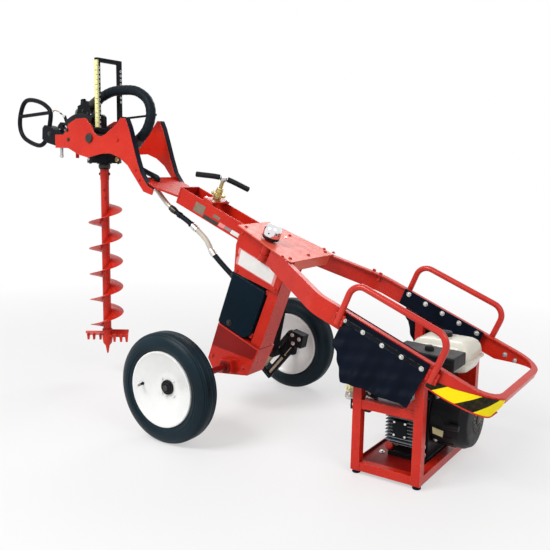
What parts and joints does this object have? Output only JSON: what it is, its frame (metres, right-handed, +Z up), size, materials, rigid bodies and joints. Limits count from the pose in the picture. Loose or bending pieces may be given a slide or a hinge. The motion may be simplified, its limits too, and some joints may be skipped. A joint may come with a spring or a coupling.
{
  "type": "towable post hole digger",
  "caption": "Two-wheeled towed earth auger: red boom from a rear engine cradle up to a head that hangs a spiral bit, with rubber tyres and a tube tow loop.",
  "frame": {"origin": "centre of the whole part's footprint, on the ground", "axes": "+X from the engine end towards the auger and the tow loop, +Y to the left of that, +Z up"},
  "size_m": [2.4946, 0.923, 1.44],
  "materials": {
    "red_paint": "gloss red enamel",
    "dark_red_paint": "red enamel in shade, slightly dulled",
    "black_paint": "semi-gloss black enamel",
    "white_paint": "smooth white enamel",
    "cream_paint": "smooth cream enamel",
    "black_plastic": "fine-grained black plastic",
    "black_rubber": "matt black rubber",
    "tyre": "black tyre rubber",
    "bright_steel": "turned steel",
    "chrome": "polished plating",
    "brass": "dull brass",
    "cast_aluminium": "cast and machined aluminium",
    "grey_green_iron": "grey-green painted casting"
  },
  "bodies": {
    "chassis": {"boom_channel": "red_paint", "gusset_plate": "red_paint", "rail_frame": "red_paint", "head_plate_left": "red_paint", "head_plate_right": "red_paint", "head_tongue": "red_paint", "cheek_left": "red_paint", "cheek_right": "red_paint", "mast": "red_paint", "axle_pedestal": "red_paint", "filler_neck": "red_paint", "hand_loop_left": "red_paint", "hand_loop_right": "red_paint", "engine_stand": "red_paint", "boom_front_plate": "dark_red_paint", "stand_tray": "dark_red_paint", "hitch_coupler": "black_paint", "guide_handle": "black_paint", "oil_reservoir": "black_paint", "prop_strut": "black_paint", "engine_block": "black_paint", "muffler": "black_paint", "hydraulic_pump": "black_paint", "air_cleaner": "black_plastic", "recoil_housing": "black_plastic", "hose_loop": "black_rubber", "boom_hoses": "black_rubber", "handle_cable": "black_rubber", "guard_pad_left": "black_rubber", "guard_pad_right": "black_rubber", "inner_pad_left": "black_rubber", "inner_pad_right": "black_rubber", "axle": "bright_steel", "hitch_pin": "bright_steel", "trunnion_pin_left": "bright_steel", "trunnion_pin_right": "bright_steel", "fuel_tank": "cream_paint", "clamp_base": "brass", "pump_fittings": "brass", "engine_cylinder": "cast_aluminium", "valve_block": "cast_aluminium"},
    "drive": {"drive_housing": "black_paint", "hydraulic_motor": "grey_green_iron", "hose_bow": "black_paint", "control_arm": "black_plastic", "swing_lock_rod": "black_paint"},
    "auger_body": {"output_coupling": "black_paint", "auger": "red_paint", "auger_teeth": "red_paint"},
    "wheel_left": {"tyre_left": "tyre", "rim_left": "white_paint", "hub_left": "black_paint"},
    "wheel_right": {"tyre_right": "tyre", "rim_right": "white_paint", "hub_right": "black_paint"},
    "clamp_screw": {"clamp_handle": "black_plastic"},
    "cap_filler": {"filler_cap": "chrome"},
    "cap_fuel": {"fuel_cap": "black_plastic"},
    "starter": {"recoil_grip": "black_plastic"},
    "valve_arm": {"valve_lever": "black_plastic"}
  },
  "joints": [
    {"name": "drive_swing", "type": "hinge", "parent": "chassis", "child": "drive", "pos_m": [0.61264, 0, 1.098], "axis": [0, 1, 0], "range_deg": [-40, 0], "deforming": ["hose_loop"]},
    {"name": "auger_spin", "type": "hinge", "parent": "drive", "child": "auger_body", "pos_m": [0.64664, 0, 0.9917], "axis": [0, 0, 1], "continuous": true},
    {"name": "wheel_left_spin", "type": "hinge", "parent": "chassis", "child": "wheel_left", "pos_m": [-0.11336, 0.4152, 0.203], "axis": [0, 1, 0], "continuous": true},
    {"name": "wheel_right_spin", "type": "hinge", "parent": "chassis", "child": "wheel_right", "pos_m": [-0.11336, -0.4152, 0.203], "axis": [0, 1, 0], "continuous": true},
    {"name": "clamp_turn", "type": "hinge", "parent": "chassis", "child": "clamp_screw", "pos_m": [0.00644, 0, 0.84657], "axis": [-0.3817, 0, 0.9243], "range_deg": [-90, 90]},
    {"name": "filler_cap_turn", "type": "hinge", "parent": "chassis", "child": "cap_filler", "pos_m": [-0.31436, 0.0776, 0.7274], "axis": [-0.3817, 0, 0.9243], "range_deg": [0, 120]},
    {"name": "fuel_cap_turn", "type": "hinge", "parent": "chassis", "child": "cap_fuel", "pos_m": [-0.95836, -0.055, 0.4303], "axis": [0, 0, 1], "range_deg": [0, 120]},
    {"name": "valve_lever_swing", "type": "hinge", "parent": "chassis", "child": "valve_arm", "pos_m": [-0.82536, 0.2117, 0.26], "axis": [1, 0, 0], "range_deg": [-25, 25]},
    {"name": "recoil_pull", "type": "slide", "parent": "chassis", "child": "starter", "axis": [0, 1, 0], "range_m": [0, 0.5], "stiffness_N_per_m": 20, "springref_m": -0.05}
  ]
}
